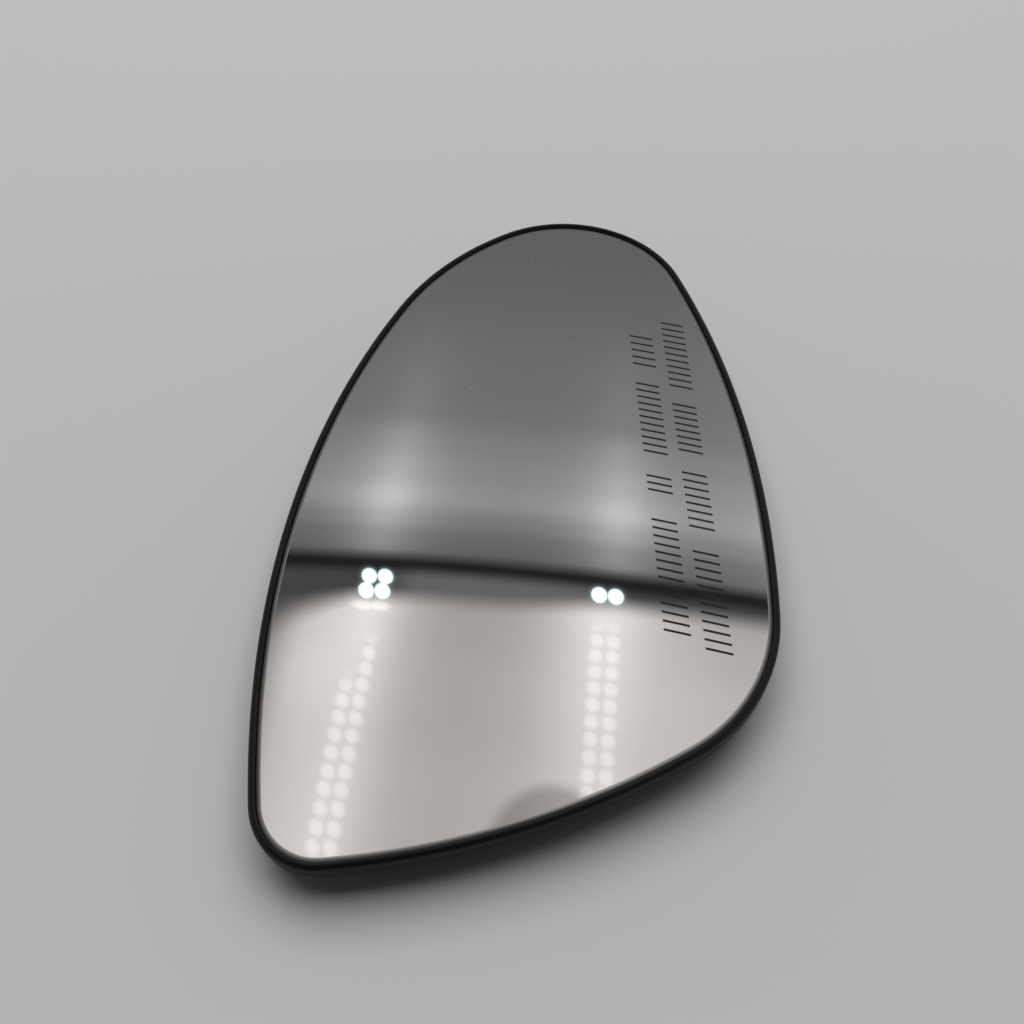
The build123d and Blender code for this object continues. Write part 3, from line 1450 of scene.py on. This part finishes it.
    @staticmethod
    def level(wire: Wiring, away: Reading, stops: Stops) -> Reading:
        """Level at a distance from the roof's middle, between stops."""
        shares = [(place / (1 + place), level) for place, level in stops]
        return wire.grey_ramp(away / (away + 1.0), shares)

    @staticmethod
    def glow(level: Reading, off: Reading, spread: float) -> Reading:
        """Glow that falls off to both sides of a strip."""
        near = off / spread
        return level / (near * near + 1.0)

    @staticmethod
    def length(along: Reading, across: Reading) -> Reading:
        """Length of a step along and across the tent."""
        return (along * along + across * across).root()

    def roof_lift(self, distance: Reading, aside: Reading) -> Reading:
        """Gain of the roof outside its two main strips."""
        left = aside.through(self.roof_left) * distance.through(self.roof_left_lift)
        return left + aside.through(self.roof_right_lift)

    def roof_cover(self, distance: Reading, aside: Reading) -> Reading:
        """One on the roof and zero past its edges. Its far left-hand corner is cut off."""
        corner = (aside - self.roof_corner_start).at_least(0.0)
        past = distance - aside.through(self.roof_edge) + corner * self.roof_corner_slope
        soft = corner * self.roof_corner_blur + self.roof_edge_blur
        return (past / soft).through(self.roof_edge_fade) * abs(aside).through(self.roof_side_fade)

    def shelf(self, away: Reading, aside: Reading) -> Reading:
        """Grey fold between the roof's edge and the dark seam above the wall."""
        middle = aside.through(self.shelf_right) * aside.through(self.shelf_left)
        return (middle * self.shelf_rise + self.shelf_level) * away.through(self.shelf_edge)

    def lens_shade(self, ahead: Reading, aside: Reading) -> Reading:
        """Share of light that the roof keeps at the round hole for a lens."""
        hole_ahead, hole_aside = self.lens_hole
        return self.length(ahead - hole_ahead, aside - hole_aside).through(self.lens_hole_edge)

    def open_front(self, light: Reading, ahead: Reading, aside: Reading) -> Reading:
        """The light, dimmed where it comes from the tent's open near side."""
        bearing = ahead / (aside * aside + ahead * ahead + self.front_core).root()
        return (light - self.front_level) * bearing.through(self.front_edge) + self.front_level

    def veiled_lamps(self, wire: Wiring, ahead: Reading, off: Reading, strip: LampStrip) -> list[Reading]:
        """Lights of the lamps that shine through the roof.

        Args:
            wire: Wiring of the world.
            ahead: Place along the tent.
            off: Distance to the left from the strip's middle.
            strip: Strip of the lamps.

        Returns:
            The light of the two columns, and that of the last pair if the roof's edge spreads it sideways.
        """
        step = (ahead - self.lamp_phase) / self.lamp_pitch
        along = (step - wire.math("ROUND", step)) * self.lamp_pitch
        is_left = wire.math("GREATER_THAN", off, 0.0)
        start = is_left * (strip.left_start - strip.right_start) + strip.right_start
        shown = (ahead - start).through(self.lamp_start) * ahead.through(self.lamp_near_end)
        lights = [self.disc(wire, along, off, strip, self.veiled_lamp) * shown]
        if strip.end_lamp is not None:
            along = (ahead - strip.end_lamp) * self.end_lamp_flatness
            lights.append(self.disc(wire, along, off, strip, self.end_lamp))
        return lights

    def bare_lamps(self, wire: Wiring, ahead: Reading, off: Reading, strip: LampStrip) -> list[Reading]:
        """Lights of a strip's last lamps, which shine past the roof's edge, and of their halos."""
        lights = []
        for place in strip.bare_lamps:
            along = ahead - place
            lights.append(self.disc(wire, along, off, strip, self.bare_lamp))
            lights.append(self.disc(wire, along, off, strip, self.bare_lamp_halo))
        return lights

    def disc(self, wire: Wiring, along: Reading, off: Reading, strip: LampStrip, look: LampDisc) -> Reading:
        """Light of one lamp in each of a strip's columns.

        Args:
            wire: Wiring of the world.
            along: Distance from the lamp's middle along the tent.
            off: Distance to the left from the strip's middle.
            strip: Strip of the lamp, whose place gives the sideways lean that keeps it round.
            look: Look of the lamp.

        Returns:
            The light.
        """
        slant = self.lamp_slant + self.lamp_slant_aside * strip.aside
        across = off - wire.math("SIGN", off) * self.column_offset - along * slant
        return self.length(along / self.lamp_stretch, across).through(look.fall)


ROOF_LIGHT = Softbox("roof_light", (0.21, 0.0, 0.6), length=0.54, width=0.66, power=4.5)
UNDER_LIGHT = Softbox("under_light", (0.0, 0.0, -0.4), length=0.5, width=0.5, power=15.0)


def main() -> None:
    """Builds and dresses every piece, then the floor, the light and the camera."""
    logging.basicConfig(level=logging.INFO, format="%(name)s: %(message)s")
    bpy.context.scene.view_settings.view_transform = "Standard"
    opening, dish = GlassOpening(), Dish()

    mirror = MirrorGlass(opening, dish)
    glass = mirror.build()
    mirror.dress(glass, MirrorCoating(), GroundEdge())
    log.info("%s built, %.2f mm off its solid's box", glass.name, off_by(glass, Node.GLASS) / MM)

    rows = EtchedMarks(dish)
    marks = rows.build()
    rows.dress(marks, EtchedLine())
    log.info("%s built, %d faces", marks.name, len(marks.data.polygons))

    bond = AdhesivePad(opening, dish)
    pad = bond.build()
    bond.dress(pad, FoamSheet())
    log.info("%s built, %.2f mm off its solid's box", pad.name, off_by(pad, Node.PAD) / MM)

    plate = BackingPlate(opening, dish)
    holder = plate.build()
    plate.dress(holder, BlackMoulding())
    log.info("%s built, %.2f mm off its solid's box", holder.name, off_by(holder, Node.PLATE) / MM)

    PaleFloor().build()
    LightTent().build()
    ROOF_LIGHT.build()
    UNDER_LIGHT.build()
    PhotoCamera().build()
    log.info("scene ready")


if __name__ == "__main__":
    main()
